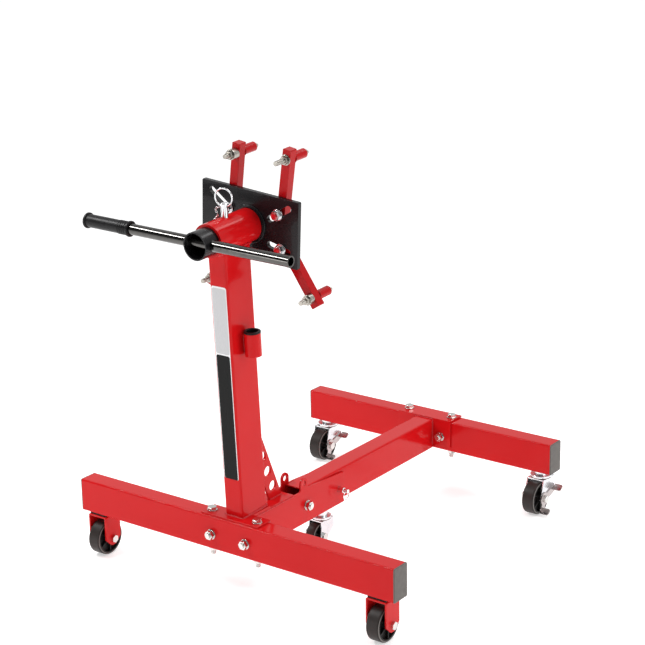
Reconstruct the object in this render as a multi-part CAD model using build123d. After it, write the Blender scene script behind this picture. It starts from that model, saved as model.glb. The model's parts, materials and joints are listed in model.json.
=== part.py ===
"""Folding engine stand: a leaning post on two crossbeams, with a turning head that carries an engine.

The stand has a front crossbeam on rigid casters, a post with a head tube, and a rear frame (centre
beam, rear crossbeam and braked swivel casters) that folds up about a pivot bolt in the base channel.
Millimetres, +Z up, +Y from the handle side to the engine side, origin on the floor at the middle.
"""
import os
from math import atan2, cos, degrees, hypot, radians, sin

from build123d import *

os.makedirs("parts", exist_ok=True)

# ---- driving dimensions -------------------------------------------------------------------------
ORIGIN_Y = 400.0          # front crossbeam's front face lies this far in front of the origin

BEAM_W = 50.0             # rectangular tube of the crossbeams and centre beam
BEAM_H = 80.0
BEAM_WALL = 3.0
BEAM_CORNER = 4.0
FLOOR_TO_BEAM = 108.0
FRONT_LENGTH = 900.0
REAR_LENGTH = 738.0
REAR_SETBACK = 815.0      # front face of the front beam to front face of the rear beam

POST_W = 50.0
POST_D = 88.0
POST_WALL = 3.5
POST_LEAN = 3.0           # degrees, towards the handle side
POST_FOOT_Y = 68.0        # post centre above the base plate, behind the front beam's face
HEAD_HEIGHT = 662.0       # base plate to head tube centre, along the post

PLATE = 4.0               # bracket and channel plate thickness
BRACKET_HALF = 82.0       # half width of the front bracket
REAR_BRACKET_HALF = 79.0
CHANNEL_W = 60.0
CHANNEL_BOTTOM = 100.0
CHANNEL_END = 409.0
COVER_END = 207.0
EAR_Y, EAR_HOLE_Z, EAR_R, EAR_HOLE_R = 249.0, 202.0, 14.0, 7.0
PIVOT_Y, PIVOT_Z = 259.0, 144.0
BEAM_END_Y = 248.0
FOLD_PIN_Y, FOLD_PIN_Z, FOLD_PIN_R = 388.0, 140.0, 7.0

HEAD_TUBE_R, HEAD_TUBE_LENGTH = 38.0, 138.0
SHAFT_R, SHAFT_WALL = 31.75, 3.0
SHAFT_FRONT = -112.5      # along the head axis from the post's centre line
COLLAR_R, COLLAR_START = 42.0, 69.6
FACE_FRONT, FACE_THICK, FACE_W, FACE_H = 74.8, 10.0, 266.0, 154.0
FACE_TURN = 4.9           # degrees, the head's resting turn
HANDLE_TURN = 1.1
HANDLE_S, HANDLE_R, HANDLE_WALL = -87.5, 12.7, 3.0
HANDLE_LEFT, HANDLE_RIGHT = -328.0, 236.0
GRIP_LEFT, GRIP_RIGHT, GRIP_R, GRIP_FLANGE_R = -331.0, -201.0, 15.0, 18.0
LOCK_PIN_S, LOCK_PIN_R = -7.0, 8.0
LOCK_RING_R, RING_WIRE_R = 20.2, 1.8
INDEX_HOLES = 8

ARM_LENGTH, ARM_W, ARM_T, ARM_TAIL, ARM_TIP = 125.0, 22.0, 22.0, 16.0, 23.0
ARM_GAP = 0.4             # faceplate back to arm front
BOSS_R, BOSS_END, STUD_R, STUD_TIP = 11.0, 149.0, 5.0, 47.5
THREAD_LENGTH, UNDERCUT_R, UNDERCUT = 10.0, 4.2, 1.5     # the bolt end that enters the engine
SLOT_W = 15.0
CLAMP_R = 6.0
# slot centre line ends on the +X side, as (x, z) on the faceplate
UPPER_SLOT = ((55.8, 23.9), (105.8, 57.2))
LOWER_SLOT = ((57.0, -35.0), (106.0, -42.0))
# arm name: side, slot, bolt place along the slot 0 to 1, arm direction from straight up (clockwise), washers
ARMS = {
    "upper_left": (-1, UPPER_SLOT, 0.05, 4.5, 8),
    "upper_right": (1, UPPER_SLOT, 0.43, 5.5, 1),
    "lower_left": (-1, LOWER_SLOT, 0.28, 199.0, 4),
    "lower_right": (1, LOWER_SLOT, 0.61, 142.7, 6),
}

WHEEL_R, WHEEL_W, AXLE_R = 42.5, 33.0, 6.0
FRONT_WHEEL_X, FRONT_WHEEL_Y = 405.0, 25.0
FORK_IN, FORK_T = 46.0, 4.0
SWIVEL_T, WHEEL_GAP, CUP_T = 3.0, 4.5, 6.5
SWIVEL_X, SWIVEL_TRAIL = 331.0, 25.0
MIDDLE_Y, MIDDLE_WHEEL_R, MIDDLE_WHEEL_W, MIDDLE_TRAIL = 355.0, 32.5, 25.0, 18.0

BOLT_R, HEAD_AF, HEAD_T, NUT_T, WASHER_R, WASHER_T = 6.0, 19.0, 7.0, 10.0, 12.0, 2.2
FIT = 0.05                # radial running clearance

BEAM_TOP = FLOOR_TO_BEAM + BEAM_H
BASE_TOP = BEAM_TOP + PLATE
CHANNEL_START = BEAM_W + PLATE


def at(x, y, z):
    """A place given from the front beam's front face, in the part's own frame."""
    return Location((x, y - ORIGIN_Y, z))


POST_BASE = at(0, POST_FOOT_Y, BASE_TOP) * Rotation(POST_LEAN, 0, 0)
HEAD = POST_BASE * Pos(0, 0, HEAD_HEIGHT)
FACE = HEAD * Rotation(0, FACE_TURN, 0)
HANDLE = HEAD * Rotation(0, HANDLE_TURN, 0)


# ---- shared shapes ------------------------------------------------------------------------------
def span(x0, x1, y0, y1, z0, z1):
    """A box between two corners, given in the frame of whatever it is placed in."""
    return Pos((x0 + x1) / 2, (y0 + y1) / 2, (z0 + z1) / 2) * Box(x1 - x0, y1 - y0, z1 - z0)


def rod(radius, start, end, along="Y"):
    """A round bar along one axis, between two places on it."""
    turn = {"X": Rotation(0, 90, 0), "Y": Rotation(-90, 0, 0), "Z": Rotation(0, 0, 0)}[along]
    return turn * Pos(0, 0, (start + end) / 2) * Cylinder(radius, end - start)


def hexagon(flats, start, end, along="Y"):
    """A hexagonal prism along one axis with slightly turned-down corners."""
    turn = {"X": Rotation(0, 90, 0), "Y": Rotation(-90, 0, 0), "Z": Rotation(0, 0, 0)}[along]
    corner = flats / 2 / cos(radians(30))
    prism = extrude(RegularPolygon(corner, 6), end - start)
    turned = Pos(0, 0, (end - start) / 2) * Cylinder(corner * 1.06, end - start)
    prism = prism & chamfer(turned.edges().filter_by(GeomType.CIRCLE), corner * 0.12)
    return turn * Pos(0, 0, start) * prism


def tube_profile(width, height, wall, corner):
    """The section of a rectangular tube with rounded corners."""
    return RectangleRounded(width, height, corner) - RectangleRounded(
        width - 2 * wall, height - 2 * wall, max(corner - wall, 0.8)
    )


def write(name, *solids):
    """Writes one node; several solids make a group of separate pieces."""
    pieces = []
    for item in solids:
        pieces += list(item.solids()) if hasattr(item, "solids") else [item]
    export_step(Compound(children=pieces), f"parts/{name}.step")


# ---- fasteners ----------------------------------------------------------------------------------
def bolt(grip, tail):
    """A hex bolt lying along +Y: its head ends at y 0 and its shank runs past the grip by the tail."""
    return hexagon(HEAD_AF, -HEAD_T, 0) + rod(BOLT_R, -0.5, grip + tail)


def nut(start, thick=NUT_T, radius=BOLT_R, flats=HEAD_AF, along="Y"):
    return hexagon(flats, start, start + thick, along) - rod(radius + 0.02, start - 1, start + thick + 1, along)


def washer(start, thick=WASHER_T, outer=WASHER_R, radius=BOLT_R, along="Y"):
    ring = rod(outer, start, start + thick, along)
    return ring - rod(radius + 0.3, start - 1, start + thick + 1, along)


# ---- frame --------------------------------------------------------------------------------------
def crossbeam(length, y_front, bolt_x, post_x):
    """A crossbeam with two level holes and two upright holes for its bracket bolts."""
    section = tube_profile(BEAM_W, BEAM_H, BEAM_WALL, BEAM_CORNER)
    beam = Rotation(0, 90, 0) * Rotation(0, 0, 90) * extrude(section, length / 2, both=True)
    beam = at(0, y_front + BEAM_W / 2, FLOOR_TO_BEAM + BEAM_H / 2) * beam
    for side in (-1, 1):
        beam -= at(side * bolt_x, y_front + BEAM_W / 2, LEVEL_BOLT_Z) * rod(BOLT_R + 0.5, -40, 40)
        beam -= at(side * post_x, y_front + BEAM_W / 2, 0) * rod(BOLT_R + 0.5, 90, 220, "Z")
    return beam


LEVEL_BOLT_Z = 145.0
LEVEL_BOLT_X = 49.0
UPRIGHT_BOLT_X = 65.0


def beam_cap(side, length, y_front):
    """A pushed-in plastic cap: a thin flange over the tube's end and a hollow plug inside it."""
    flange = extrude(RectangleRounded(BEAM_W, BEAM_H, BEAM_CORNER), 3)
    flange = chamfer(flange.faces().sort_by(Axis.Z)[-1].edges(), 1.2)
    inner_w, inner_h = BEAM_W - 2 * BEAM_WALL - 0.4, BEAM_H - 2 * BEAM_WALL - 0.4
    plug = extrude(RectangleRounded(inner_w, inner_h, 2), -18)
    plug -= Pos(0, 0, -2) * extrude(RectangleRounded(inner_w - 5, inner_h - 5, 1), -20)
    cap = Rotation(0, 90 * side, 0) * Rotation(0, 0, 90) * (flange + plug)
    return at(side * length / 2, y_front + BEAM_W / 2, FLOOR_TO_BEAM + BEAM_H / 2) * cap


def base_bracket():
    """An angle bracket over the front beam: top plate with a tongue under the post, and a back plate."""
    top = span(-BRACKET_HALF, BRACKET_HALF, 5, CHANNEL_START, BEAM_TOP, BASE_TOP)
    tongue = span(-CHANNEL_W / 2, CHANNEL_W / 2, CHANNEL_START - 1, 118, BEAM_TOP, BASE_TOP)
    back = span(-BRACKET_HALF, BRACKET_HALF, BEAM_W, CHANNEL_START, FLOOR_TO_BEAM + 4, BEAM_TOP + 1)
    bracket = top + tongue + back
    bracket = at(0, 0, 0) * bracket
    for side in (-1, 1):
        bracket -= at(side * LEVEL_BOLT_X, BEAM_W, LEVEL_BOLT_Z) * rod(BOLT_R + 0.5, -10, 20)
        bracket -= at(side * UPRIGHT_BOLT_X, BEAM_W / 2, 0) * rod(BOLT_R + 0.5, 180, 200, "Z")
    return bracket


def channel():
    """The base channel: two walls and a floor, with a lug standing on each wall near the pivot."""
    half, rear_top = CHANNEL_W / 2, 178.5
    wall_line = Polyline(
        (CHANNEL_START, CHANNEL_BOTTOM),
        (CHANNEL_END, CHANNEL_BOTTOM),
        (CHANNEL_END, rear_top),
        (EAR_Y + EAR_R + 17, BEAM_TOP - 1),
        (EAR_Y - EAR_R, BEAM_TOP - 1),
        (EAR_Y - EAR_R - 4, BEAM_TOP - PLATE),
        (CHANNEL_START, BEAM_TOP - PLATE),
        close=True,
    )
    side_shape = make_face(wall_line) + Pos(EAR_Y, EAR_HOLE_Z) * Circle(EAR_R)
    side_shape += Pos(EAR_Y, (EAR_HOLE_Z + BEAM_TOP) / 2 - 1) * Rectangle(2 * EAR_R, EAR_HOLE_Z - BEAM_TOP + 2)
    side_shape -= Pos(EAR_Y, EAR_HOLE_Z) * Circle(EAR_HOLE_R)
    side_shape -= Pos(PIVOT_Y, PIVOT_Z) * Circle(BOLT_R + FIT)
    side_shape -= Pos(FOLD_PIN_Y, FOLD_PIN_Z) * Circle(FOLD_PIN_R + FIT)
    upright = Plane(origin=(0, 0, 0), x_dir=(0, 1, 0), z_dir=(1, 0, 0))
    wall = extrude(upright * side_shape, PLATE)
    body = Pos(half - PLATE, 0, 0) * wall + Pos(-half, 0, 0) * wall
    body += span(-half + 1, half - 1, CHANNEL_START, CHANNEL_END, CHANNEL_BOTTOM, CHANNEL_BOTTOM + PLATE)
    body -= Pos(0, MIDDLE_Y, 0) * rod(RIVET_R + 0.2, 90, 110, "Z")
    edges = body.edges().filter_by(Axis.Y).group_by(Axis.Z)[0]
    return at(0, 0, 0) * fillet(edges, 3)


def channel_cover():
    """A flat plate over the front of the base channel, level with the crossbeam's top."""
    half = CHANNEL_W / 2
    return at(0, 0, 0) * span(-half, half, CHANNEL_START, COVER_END, BEAM_TOP - PLATE, BEAM_TOP)


def post():
    """The leaning post, cut square on the base plate and coped around the head tube."""
    column = extrude(tube_profile(POST_W, POST_D, POST_WALL, 5), HEAD_HEIGHT + 30)
    column = POST_BASE * Pos(0, 0, -30) * column
    column -= at(0, 0, 0) * span(-60, 60, -60, 200, 0, BASE_TOP)
    coped = column - HEAD * rod(HEAD_TUBE_R, -120, 120)
    return coped.solids().sort_by(Axis.Z)[0]


BRACE_FOOT, BRACE_LEAN, BRACE_W, BRACE_T = (167.5, 204.5), 23.1, 41.0, 6.0
BRACE_HOLES, BRACE_HOLE_R, BRACE_HOLE_SHIFT = (15.5, 60.3, 105.1), 12.5, 3.0


def brace():
    """A flat bar on edge from the cover plate up to the back of the post, with three holes."""
    bar = Pos(0, 110) * Rectangle(BRACE_W, 360)
    for reach in BRACE_HOLES:
        bar -= Pos(BRACE_HOLE_SHIFT, reach) * Circle(BRACE_HOLE_R)
    upright = Plane(origin=(-BRACE_T / 2, 0, 0), x_dir=(0, 1, 0), z_dir=(1, 0, 0))
    bar = upright * (Pos(*BRACE_FOOT) * Rotation(0, 0, BRACE_LEAN) * bar)
    bar = at(0, 0, 0) * extrude(bar, BRACE_T)
    bar -= at(0, 0, 0) * span(-60, 60, -100, 400, 0, BEAM_TOP)
    bar -= POST_BASE * span(-60, 60, -400, POST_D / 2, -100, 900)
    return bar.solids().sort_by(Axis.Z)[0]


def head_tube():
    """The head's outer tube, with a hole on top for the lock pin."""
    half = HEAD_TUBE_LENGTH / 2
    tube = rod(HEAD_TUBE_R, -half, half) - rod(SHAFT_R + FIT * 2, -half - 1, half + 1)
    tube -= Pos(0, LOCK_PIN_S, 0) * rod(LOCK_PIN_R + FIT, 20, 60, "Z")
    return HEAD * tube


HOLDER_S, HOLDER_Y, HOLDER_R, HOLDER_LENGTH, HOLDER_PAD = 412.5, 4.0, 19.0, 53.0, 3.0


def holder_place():
    x = POST_W / 2 + HOLDER_PAD + HOLDER_R
    return POST_BASE * Pos(x, HOLDER_Y, HOLDER_S)


def handle_holder():
    """A short tube on the post's side that stores the handle, on a small weld strip."""
    half = HOLDER_LENGTH / 2
    tube = rod(HOLDER_R, -half, half, "Z")
    strip = span(-HOLDER_R - HOLDER_PAD, -HOLDER_R + 2, -4, 4, -half + 4, half - 4)
    return holder_place() * (tube + strip - rod(HOLDER_R - 2.5, -half - 1, half + 1, "Z"))


def holder_liner():
    """A rubber sleeve in the handle holder, with a rounded lip over its top."""
    half, inner = HOLDER_LENGTH / 2, 13.2
    sleeve = rod(HOLDER_R - 2.6, -half + 6, half, "Z")
    lip = rod(HOLDER_R + 0.4, half, half + 4.5, "Z")
    lip = fillet(lip.edges().filter_by(GeomType.CIRCLE), 2.0)
    liner = sleeve + lip - rod(inner, -half - 1, half + 8, "Z")
    rim = liner.edges().filter_by(GeomType.CIRCLE).sort_by(Axis.Z)[-1]
    return holder_place() * fillet(rim, 1.5)


def post_label():
    """A thin plate with rounded corners on the post's front face."""
    low, high, half_w, thick = 95.0, 552.0, 20.5, 0.6
    label = extrude(RectangleRounded(2 * half_w, high - low, 5), thick)
    flat = Pos(0, -POST_D / 2, (low + high) / 2) * Rotation(90, 0, 0)
    return POST_BASE * flat * label


# ---- rear frame ---------------------------------------------------------------------------------
def centre_beam():
    """The folding beam: open in front, with the pivot hole near its end and two lock pin holes."""
    start, end = BEAM_END_Y, REAR_SETBACK - PLATE
    section = tube_profile(BEAM_W, BEAM_H, BEAM_WALL, BEAM_CORNER)
    beam = Rotation(-90, 0, 0) * extrude(section, (end - start) / 2, both=True)
    beam = Pos(0, (start + end) / 2, FLOOR_TO_BEAM + BEAM_H / 2) * beam
    beam -= Pos(0, PIVOT_Y, PIVOT_Z) * rod(BOLT_R + FIT, -60, 60, "X")
    beam -= Pos(0, FOLD_PIN_Y, FOLD_PIN_Z) * rod(FOLD_PIN_R + 0.5, -60, 60, "X")
    stowed_y = PIVOT_Y + EAR_HOLE_Z - PIVOT_Z
    stowed_z = PIVOT_Z + PIVOT_Y - EAR_Y
    beam -= Pos(0, stowed_y, stowed_z) * rod(FOLD_PIN_R + 0.5, -60, 60, "X")
    return at(0, 0, 0) * beam


def rear_bracket():
    """The angle bracket that joins the centre beam to the rear crossbeam."""
    half = REAR_BRACKET_HALF
    front = REAR_SETBACK - PLATE
    upright = span(-half, half, front, REAR_SETBACK, FLOOR_TO_BEAM + 12, BASE_TOP)
    top = span(-half, half, front, REAR_SETBACK + BEAM_W + 2, BEAM_TOP, BASE_TOP)
    bracket = at(0, 0, 0) * (upright + top)
    for side in (-1, 1):
        bracket -= at(side * LEVEL_BOLT_X, REAR_SETBACK, LEVEL_BOLT_Z) * rod(BOLT_R + 0.5, -20, 10)
        upright_hole = rod(BOLT_R + 0.5, 180, 200, "Z")
        bracket -= at(side * UPRIGHT_BOLT_X, REAR_SETBACK + BEAM_W / 2, 0) * upright_hole
    return bracket


def bracket_bolts(y_front, level_end, level_grip):
    """Two level bolts with nuts in front and two upright bolts with heads on top, and their nuts."""
    bolts, nuts = [], []
    up_grip = BASE_TOP + WASHER_T - FLOOR_TO_BEAM + WASHER_T
    for side in (-1, 1):
        level = at(side * LEVEL_BOLT_X, level_end + WASHER_T, LEVEL_BOLT_Z) * Rotation(0, 0, 180)
        bolts.append(level * bolt(level_grip + 2 * WASHER_T, NUT_T + 4))
        nuts.append(level * washer(0))
        nuts.append(level * washer(level_grip + WASHER_T))
        nuts.append(level * nut(level_grip + 2 * WASHER_T))
        up = at(side * UPRIGHT_BOLT_X, y_front + BEAM_W / 2, BASE_TOP + WASHER_T) * Rotation(-90, 0, 0)
        bolts.append(up * bolt(up_grip, NUT_T + 12))
        nuts.append(up * washer(0))
        nuts.append(up * washer(up_grip - WASHER_T))
        nuts.append(up * nut(up_grip))
    return bolts, nuts


# ---- casters ------------------------------------------------------------------------------------
def wheel(radius, width, place):
    """A moulded wheel: rounded tread, dished faces with six ribs, and a hub bored for its axle."""
    half, rim, hub = width / 2, radius * 0.82, radius * 0.3
    body = fillet(rod(radius, -half, half, "X").edges().filter_by(GeomType.CIRCLE), radius * 0.1)
    for side in (-1, 1):
        dish_from, dish_to = sorted((side * (half - 8), side * (half + 1)))
        dish = rod(rim, dish_from, dish_to, "X") - rod(hub, dish_from - 1, dish_to + 1, "X")
        for turn in range(6):
            rib = span(min(dish_from, dish_to), max(dish_from, dish_to), -1.5, 1.5, 0, radius)
            dish -= Rotation(60 * turn, 0, 0) * Pos(-side * 2.5, 0, 0) * rib
        body -= dish
    body = body + rod(hub, -half - 3, half + 3, "X")
    body -= rod(AXLE_R + FIT, -half - 5, half + 5, "X")
    return place * body


def axle(fork_width, extra, place):
    """An axle bolt along X with its head on the +X side, beyond anything extra there, and its nut."""
    outer = fork_width / 2
    shank = rod(AXLE_R, -outer - 12, outer + extra + 0.5, "X")
    head = hexagon(17, outer + extra, outer + extra + 6.5, "X")
    return place * (shank + head), place * nut(-outer - 9, thick=9, flats=17, along="X")


def rigid_fork(side):
    """A bent strip fork under the front beam: flat top and two side plates cut to a blunt point."""
    half_in, half_y, top = FORK_IN / 2, BEAM_W / 2, FLOOR_TO_BEAM - 4
    outline = Polyline(
        (-half_y, top), (-half_y, 44), (-7, 27), (7, 27), (half_y, 44), (half_y, top), close=True
    )
    upright = Plane(origin=(0, 0, 0), x_dir=(0, 1, 0), z_dir=(1, 0, 0))
    face = make_face(outline)
    face = fillet(face.vertices().group_by(Axis.Y)[0], 5)
    face -= Pos(0, WHEEL_R) * Circle(AXLE_R + 0.1)
    plate = extrude(upright * face, FORK_T)
    fork = Pos(half_in, 0, 0) * plate + Pos(-half_in - FORK_T, 0, 0) * plate
    fork += span(-half_in - 1, half_in + 1, -half_y, half_y, top - FORK_T, top)
    fork = fillet(fork.edges().filter_by(Axis.Y).group_by(Axis.Z)[-1], 4)
    return at(side * FRONT_WHEEL_X, FRONT_WHEEL_Y, 0) * fork


def fork_spacer(side):
    top = FLOOR_TO_BEAM
    return at(side * FRONT_WHEEL_X, FRONT_WHEEL_Y, 0) * span(-24, 24, -22, 22, top - 4, top)


def stem(top, disc_top, radius):
    """The fixed part of a swivel caster: a neck under the frame, a bearing cup and the king pin."""
    neck = rod(radius * 0.65, disc_top, top, "Z")
    cup = rod(radius, disc_top - CUP_T, disc_top, "Z")
    cup = chamfer(cup.edges().filter_by(GeomType.CIRCLE), 1.5)
    pin = rod(radius * 0.3, disc_top - CUP_T - 4, disc_top, "Z")
    return neck + cup + pin


def swivel_fork(cup_top, wheel_r, wheel_w, trail, cup_r):
    """A swivelling fork: a round top plate and two side plates that reach back to the axle."""
    half_in = wheel_w / 2 + WHEEL_GAP
    top = cup_top - CUP_T - 0.4
    outline = Polyline(
        (-cup_r, top), (-trail - wheel_r * 0.35, wheel_r + 6), (-trail - wheel_r * 0.3, wheel_r * 0.7),
        (-trail + wheel_r * 0.3, wheel_r * 0.7), (cup_r, top - wheel_r * 0.75), (cup_r, top), close=True
    )
    upright = Plane(origin=(0, 0, 0), x_dir=(0, 1, 0), z_dir=(1, 0, 0))
    face = make_face(outline)
    face = fillet(face.vertices().sort_by(Axis.Y)[0:3], 3)
    face -= Pos(-trail, wheel_r) * Circle(AXLE_R + 0.1)
    plate = extrude(upright * face, SWIVEL_T)
    fork = Pos(half_in, 0, 0) * plate + Pos(-half_in - SWIVEL_T, 0, 0) * plate
    crown = span(-half_in - 1, half_in + 1, -cup_r, cup_r, top - SWIVEL_T, top)
    fork += crown + rod(cup_r * 0.92, top - SWIVEL_T, top, "Z")
    return fork - rod(cup_r * 0.3 + FIT, top - 20, top + 1, "Z")


REAR_CUP_R, REAR_CUP_TOP = 27.0, 98.0
MIDDLE_CUP_R, MIDDLE_CUP_TOP = 24.0, 78.0
RIVET_R, RIVET_HEAD_R, RIVET_TOP = 8.0, 12.0, 106.2     # the middle stem, riveted through the channel


def rear_swivel(side):
    return at(side * SWIVEL_X, REAR_SETBACK + BEAM_W / 2, 0)


def rear_axle_place(side):
    return rear_swivel(side) * Pos(0, -SWIVEL_TRAIL, WHEEL_R)


LEVER_T, LEVER_GAP = 2.5, 0.3
PEDALS = ((53.0, 17.0), (31.0, 248.0))     # reach from the axle and direction from level, of each tab


def brake_lever(side):
    """A pressed lever on the fork's +X side: a plate on the axle with a foot tab at each end."""
    x_inner = WHEEL_W / 2 + WHEEL_GAP + SWIVEL_T + LEVER_GAP
    upright = Plane(origin=(0, 0, 0), x_dir=(0, 1, 0), z_dir=(1, 0, 0))
    outline = Circle(17)
    for reach, direction in PEDALS:
        outline += Rotation(0, 0, direction) * Pos(reach / 2, 0) * RectangleRounded(reach, 17, 4)
    outline -= Circle(AXLE_R + FIT)
    lever = extrude(upright * outline, LEVER_T)
    pad = fillet(span(0, 22, -9, 9, -1.5, 1.5).edges().filter_by(Axis.Z).group_by(Axis.X)[-1], 5)
    for reach, direction in PEDALS:
        end = Pos(0, cos(radians(direction)) * reach, sin(radians(direction)) * reach)
        lever += end * Rotation(35, 0, 0) * pad
    return rear_axle_place(side) * Pos(x_inner, 0, 0) * lever


# ---- head ---------------------------------------------------------------------------------------
def shaft():
    """The turning tube, bored across for the handle and drilled all round for the lock pin."""
    tube = rod(SHAFT_R, SHAFT_FRONT, FACE_FRONT)
    tube -= rod(SHAFT_R - SHAFT_WALL, SHAFT_FRONT - 1, FACE_FRONT + 1)
    tube = FACE * tube
    tube -= HANDLE * Pos(0, HANDLE_S, 0) * rod(HANDLE_R + FIT, -60, 60, "X")
    for step in range(INDEX_HOLES):
        turned = HEAD * Rotation(0, 360 / INDEX_HOLES * step, 0)
        tube -= turned * Pos(0, LOCK_PIN_S, 0) * rod(LOCK_PIN_R + 0.6, 20, 60, "Z")
    return tube


def collar():
    ring = rod(COLLAR_R, COLLAR_START, FACE_FRONT)
    return FACE * (ring - rod(SHAFT_R + 0.02, COLLAR_START - 1, FACE_FRONT + 1))


def slot_cut(side, ends):
    """One slot right through the faceplate."""
    (x0, z0), (x1, z1) = ends
    angle = degrees(atan2(z1 - z0, x1 - x0))
    length = hypot(x1 - x0, z1 - z0) + SLOT_W
    flat = extrude(SlotOverall(length, SLOT_W), 30, both=True)
    middle = Pos((x0 + x1) / 2, (z0 + z1) / 2, 0) * Rotation(0, 0, angle)
    cut = Pos(0, FACE_FRONT, 0) * Rotation(90, 0, 0) * middle * flat
    return cut if side > 0 else mirror(cut, Plane.YZ)


def faceplate():
    plate = Pos(0, FACE_FRONT + FACE_THICK / 2, 0) * Box(FACE_W, FACE_THICK, FACE_H)
    plate = chamfer(plate.edges().filter_by(Axis.Y), 2)
    for side in (-1, 1):
        for ends in (UPPER_SLOT, LOWER_SLOT):
            plate -= slot_cut(side, ends)
    return FACE * plate


def bolt_spot(side, ends, fraction):
    """Where a clamp bolt sits in its slot, on the faceplate."""
    (x0, z0), (x1, z1) = ends
    return side * (x0 + (x1 - x0) * fraction), z0 + (z1 - z0) * fraction


def clamp_bolt(spot):
    """A clamp bolt through slot and arm: head behind the arm, washer and nut in front of the plate."""
    back = FACE_FRONT + FACE_THICK + ARM_GAP + ARM_T + 0.3
    front = FACE_FRONT - 0.3
    place = FACE * Pos(spot[0], 0, spot[1])
    head = hexagon(HEAD_AF, back, back + HEAD_T)
    pieces = [head + rod(CLAMP_R, front - WASHER_T - NUT_T - 4, back + 0.5)]
    pieces.append(washer(front - WASHER_T, outer=13.0))
    pieces.append(nut(front - WASHER_T - NUT_T))
    return [place * piece for piece in pieces]


def arm_place(spot, heading):
    """The frame of an arm: origin at its bolt on the arm's front face, +Z towards the boss."""
    return FACE * Pos(spot[0], FACE_FRONT + FACE_THICK + ARM_GAP, spot[1]) * Rotation(0, heading, 0)


def arm():
    """An arm as it hangs from its bolt: a square bar with a round boss welded behind its far end."""
    bar = span(-ARM_W / 2, ARM_W / 2, 0, ARM_T, -ARM_TAIL, ARM_LENGTH + ARM_TIP)
    bar = chamfer(bar.edges().filter_by(Axis.Y), 2)
    bar = chamfer(bar.edges().filter_by(Axis.Z), 0.8)
    bar -= rod(CLAMP_R + FIT, -1, ARM_T + 1)
    reach = BOSS_END - FACE_FRONT - FACE_THICK - ARM_GAP
    boss = Pos(0, 0, ARM_LENGTH) * rod(BOSS_R, ARM_T - 1, reach)
    weld = Pos(0, ARM_T + 1.5, ARM_LENGTH) * Rotation(-90, 0, 0) * Cone(BOSS_R + 2.5, BOSS_R, 3)
    return bar + boss + weld - Pos(0, 0, ARM_LENGTH) * rod(STUD_R + 0.25, -1, reach + 1)


def mount_bolt(washers):
    """An engine bolt through an arm's boss, with a stack of washers and a nut in front of the arm."""
    to_face = FACE_FRONT + FACE_THICK + ARM_GAP
    stack = washers * WASHER_T
    place = Pos(0, 0, ARM_LENGTH)
    boss_end = BOSS_END - to_face
    thread_start = boss_end + UNDERCUT
    stud = rod(STUD_R, STUD_TIP - to_face, boss_end) + rod(UNDERCUT_R, boss_end - 1, thread_start + 1)
    thread = rod(STUD_R, thread_start, thread_start + THREAD_LENGTH + 1)
    stud += chamfer(thread.edges().filter_by(GeomType.CIRCLE).group_by(Axis.Y)[-1], 1)
    pieces = [stud]
    for count in range(washers):
        top = -0.02 - count * WASHER_T
        pieces.append(washer(top - WASHER_T, outer=12.0, radius=STUD_R))
    pieces.append(nut(-stack - 8.1, thick=8, radius=STUD_R, flats=17))
    return [place * piece for piece in pieces]


def handle_bar():
    """The round bar through the shaft, open at its right end."""
    bar = rod(HANDLE_R, HANDLE_LEFT, HANDLE_RIGHT, "X")
    bar -= rod(HANDLE_R - HANDLE_WALL, HANDLE_LEFT - 1, HANDLE_RIGHT + 1, "X")
    return HANDLE * Pos(0, HANDLE_S, 0) * bar


def handle_grip():
    """A rubber grip with a flange at each end and grip rings near its inner end."""
    grip = rod(GRIP_R, GRIP_LEFT, GRIP_RIGHT, "X")
    for start in (GRIP_LEFT, GRIP_RIGHT - 6):
        flange = rod(GRIP_FLANGE_R, start, start + 6, "X")
        grip += fillet(flange.edges().filter_by(GeomType.CIRCLE), 2)
    for ring in range(4):
        start = GRIP_RIGHT - 14 - 6 * ring
        grip += rod(GRIP_R + 0.8, start, start + 3, "X")
    grip -= rod(HANDLE_R + 0.02, HANDLE_LEFT, GRIP_RIGHT + 1, "X")
    return HANDLE * Pos(0, HANDLE_S, 0) * grip


RING_TURN = 13.0          # degrees from square to the handle side


def lock_pin():
    """The pull pin on top of the head tube, drawn out clear of the shaft, with a hole for its ring."""
    pin = rod(LOCK_PIN_R, 32.8, 69, "Z")
    pin = chamfer(pin.edges().filter_by(GeomType.CIRCLE), 1.5)
    eye = Rotation(0, 0, RING_TURN) * Pos(0, 0, 61.5) * rod(3.6, -20, 20, "X")
    return HEAD * Pos(0, LOCK_PIN_S, 0) * (pin - eye)


def lock_ring():
    ring = Rotation(0, 0, RING_TURN) * Rotation(90, 0, 0) * Torus(LOCK_RING_R, RING_WIRE_R)
    return HEAD * Pos(0, LOCK_PIN_S, 61.0 + LOCK_RING_R) * ring


FOLD_PIN_TIP, FOLD_PIN_NECK, FOLD_PIN_HEAD = 25.6, 46.0, 57.0
FOLD_RING_R, FOLD_WIRE_R = 11.0, 1.3


def fold_pin():
    """The pull pin in the channel's near wall, drawn out clear of the folding beam."""
    pin = rod(FOLD_PIN_R, FOLD_PIN_TIP, FOLD_PIN_NECK, "X")
    pin = chamfer(pin.edges().filter_by(GeomType.CIRCLE), 1.2)
    pin += rod(FOLD_PIN_R - 2, FOLD_PIN_NECK - 0.5, FOLD_PIN_HEAD, "X")
    return at(0, FOLD_PIN_Y, FOLD_PIN_Z) * (pin - fold_eye() * rod(2.8, -20, 20))


def fold_eye():
    """The middle of the hole across the fold pin's outer end."""
    return Pos(FOLD_PIN_HEAD - 5.5, 0, 0)


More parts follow.
